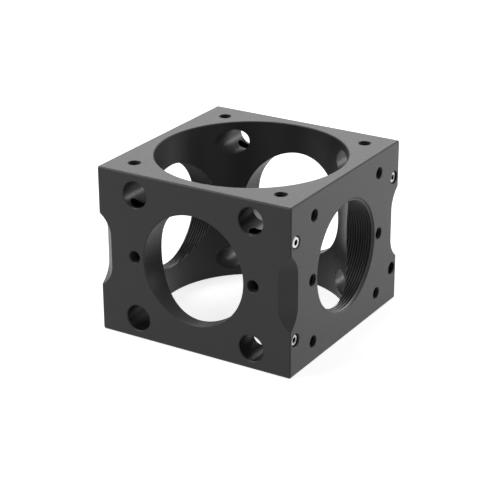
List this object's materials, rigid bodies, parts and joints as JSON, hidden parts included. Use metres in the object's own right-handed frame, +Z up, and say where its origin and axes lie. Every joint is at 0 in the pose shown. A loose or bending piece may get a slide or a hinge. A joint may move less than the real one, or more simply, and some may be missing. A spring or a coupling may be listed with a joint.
{
  "type": "optical cage cube",
  "caption": "Black cage cube with three crossing bores, threaded side ports, rod bores through the corners and set screws that clamp the rods.",
  "frame": {"origin": "crossing of the three optical axes, at the centre of the block", "axes": "+X along the threaded ports, +Y along the smooth ports and the rods, +Z up along the main bore"},
  "size_m": [0.05, 0.05, 0.04],
  "materials": {
    "black_anodised": "fine bead-blasted, black anodised",
    "steel_screw": "turned steel"
  },
  "bodies": {
    "cube": {"cube_body": "black_anodised"},
    "screw_right_front_upper": {"set_screw_right_front_upper": "steel_screw"},
    "screw_right_front_lower": {"set_screw_right_front_lower": "steel_screw"},
    "screw_right_rear_upper": {"set_screw_right_rear_upper": "steel_screw"},
    "screw_right_rear_lower": {"set_screw_right_rear_lower": "steel_screw"},
    "screw_left_front_upper": {"set_screw_left_front_upper": "steel_screw"},
    "screw_left_front_lower": {"set_screw_left_front_lower": "steel_screw"},
    "screw_left_rear_upper": {"set_screw_left_rear_upper": "steel_screw"},
    "screw_left_rear_lower": {"set_screw_left_rear_lower": "steel_screw"}
  },
  "joints": [
    {"name": "drive_right_front_upper", "type": "slide", "parent": "cube", "child": "screw_right_front_upper", "axis": [-1, 0, 0], "range_m": [-0.00315, 0.0055]},
    {"name": "drive_right_front_lower", "type": "slide", "parent": "cube", "child": "screw_right_front_lower", "axis": [-1, 0, 0], "range_m": [-0.00345, 0.0052]},
    {"name": "drive_right_rear_upper", "type": "slide", "parent": "cube", "child": "screw_right_rear_upper", "axis": [-1, 0, 0], "range_m": [-0.00345, 0.0052]},
    {"name": "drive_right_rear_lower", "type": "slide", "parent": "cube", "child": "screw_right_rear_lower", "axis": [-1, 0, 0], "range_m": [-0.0052, 0.00345]},
    {"name": "drive_left_front_upper", "type": "slide", "parent": "cube", "child": "screw_left_front_upper", "axis": [1, 0, 0], "range_m": [-0.00345, 0.0052]},
    {"name": "drive_left_front_lower", "type": "slide", "parent": "cube", "child": "screw_left_front_lower", "axis": [1, 0, 0], "range_m": [-0.00345, 0.0052]},
    {"name": "drive_left_rear_upper", "type": "slide", "parent": "cube", "child": "screw_left_rear_upper", "axis": [1, 0, 0], "range_m": [-0.00345, 0.0052]},
    {"name": "drive_left_rear_lower", "type": "slide", "parent": "cube", "child": "screw_left_rear_lower", "axis": [1, 0, 0], "range_m": [-0.00345, 0.0052]}
  ]
}
